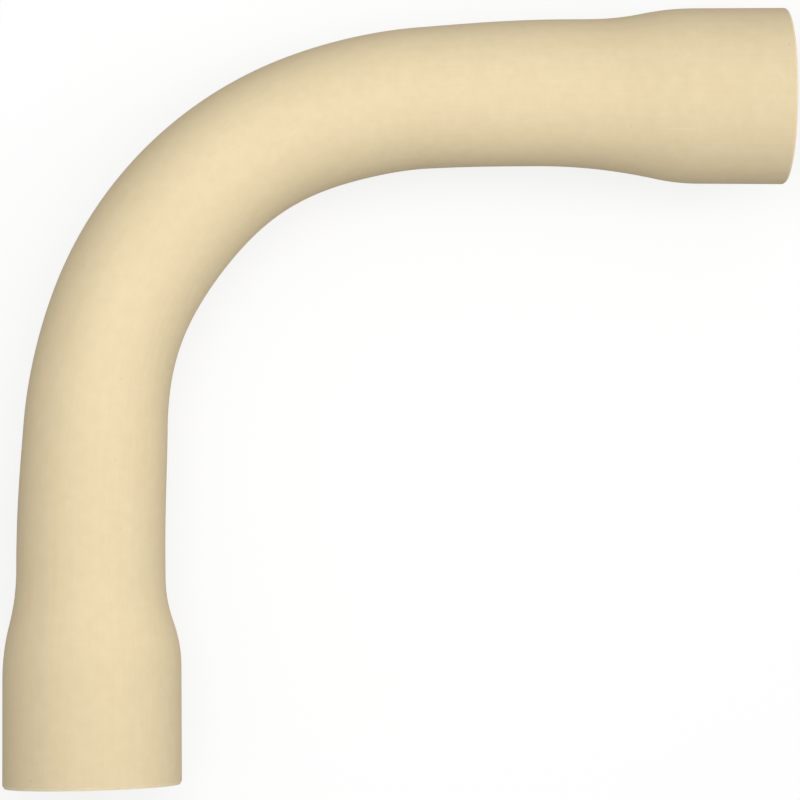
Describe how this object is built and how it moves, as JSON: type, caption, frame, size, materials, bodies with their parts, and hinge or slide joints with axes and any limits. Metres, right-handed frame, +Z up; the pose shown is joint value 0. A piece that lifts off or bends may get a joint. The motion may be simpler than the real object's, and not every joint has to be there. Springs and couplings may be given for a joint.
{
  "type": "conduit elbow",
  "caption": "Rigid plastic conduit elbow: a right-angle sweep of round pipe with a flared socket formed on each end, for joining two straight conduits at a corner.",
  "frame": {"origin": "under the middle of the overall length and width, at the level that the two bells rest on", "axes": "+Z up with the elbow lying flat; +X out of the upper mouth; -Y out of the lower mouth"},
  "size_m": [0.1792, 0.1766, 0.0399],
  "materials": {
    "pvc": "satin"
  },
  "bodies": {
    "root": {"lower_bell": "pvc", "lower_leg": "pvc", "bend": "pvc", "upper_leg": "pvc", "upper_bell": "pvc"}
  },
  "joints": []
}
